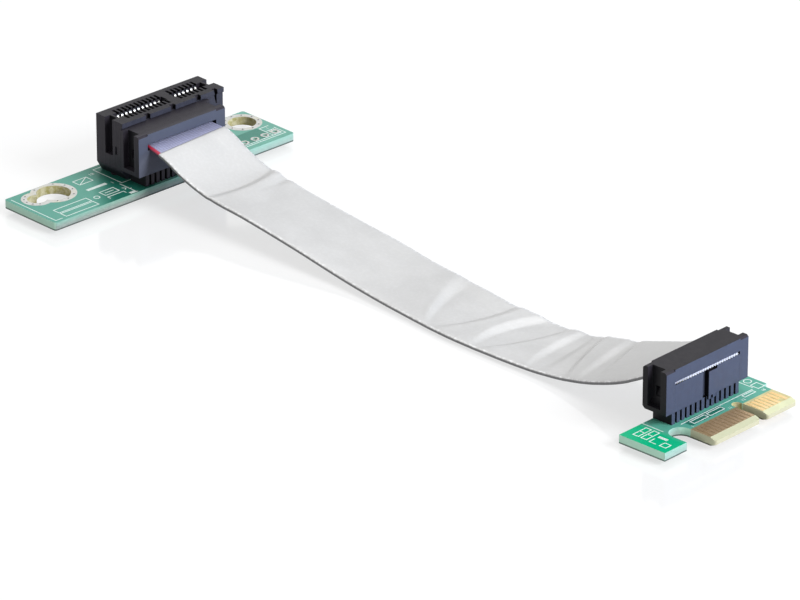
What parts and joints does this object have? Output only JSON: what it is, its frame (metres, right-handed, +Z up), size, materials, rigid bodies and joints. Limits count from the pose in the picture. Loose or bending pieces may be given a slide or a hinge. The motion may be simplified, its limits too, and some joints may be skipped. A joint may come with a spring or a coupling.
{
  "type": "riser card",
  "caption": "Flexible riser: a narrow green board with a black card slot, a flat ribbon in a silver foil sleeve and a small edge board with gold fingers.",
  "frame": {"origin": "bottom centre of the two boards with their connectors, on the surface they stand on", "axes": "+X along the slot board, +Y from the edge board to the slot board, +Z up out of the slot"},
  "size_m": [0.0586, 0.1572, 0.0139],
  "materials": {
    "mask_board": "glossy",
    "tin": "satin",
    "black_nylon": "matte",
    "contact_metal": "polished",
    "gold": "polished",
    "ribbon_pvc": "satin",
    "foil": "satin"
  },
  "bodies": {
    "root": {"slot_board": "mask_board", "edge_board": "mask_board", "keyhole_lands": "tin", "round_hole_lands": "tin", "header_pads": "tin", "slot_solder_joints": "tin", "ribbon_solder_joints_a": "tin", "ribbon_solder_joints_b": "tin", "slot_housing": "black_nylon", "ribbon_base_a": "black_nylon", "ribbon_cover_a": "black_nylon", "ribbon_base_b": "black_nylon", "ribbon_cover_b": "black_nylon", "slot_contacts_front": "contact_metal", "slot_contacts_back": "contact_metal", "ribbon_terminals_a": "contact_metal", "ribbon_terminals_b": "contact_metal", "edge_fingers_top": "gold", "edge_fingers_bottom": "gold", "ribbon_cable": "ribbon_pvc", "foil_sleeve": "foil"}
  },
  "joints": []
}
